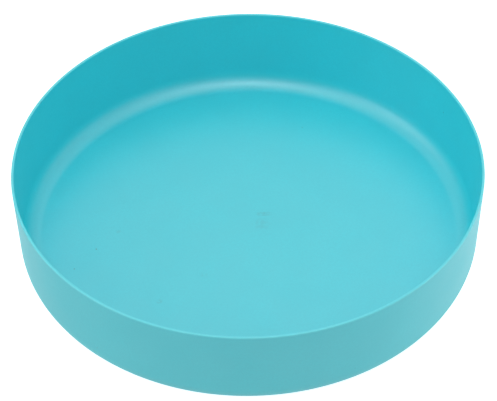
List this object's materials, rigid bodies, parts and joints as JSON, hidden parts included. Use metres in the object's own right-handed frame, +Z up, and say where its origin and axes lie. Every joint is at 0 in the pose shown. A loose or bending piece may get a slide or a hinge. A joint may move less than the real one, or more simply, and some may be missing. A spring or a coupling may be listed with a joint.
{
  "type": "mud pan",
  "caption": "Round, shallow, open plastic pan with a thin upright wall, a flat floor and a wide inside curve, for holding and mixing joint compound or plaster.",
  "frame": {"origin": "on the pan's axis, in the plane of the ring that it stands on", "axes": "+Z up along the pan's axis; X and Y are free, because the pan is round"},
  "size_m": [0.3, 0.3, 0.062],
  "materials": {
    "pan_plastic": "satin"
  },
  "bodies": {
    "root": {"pan": "pan_plastic"}
  },
  "joints": []
}
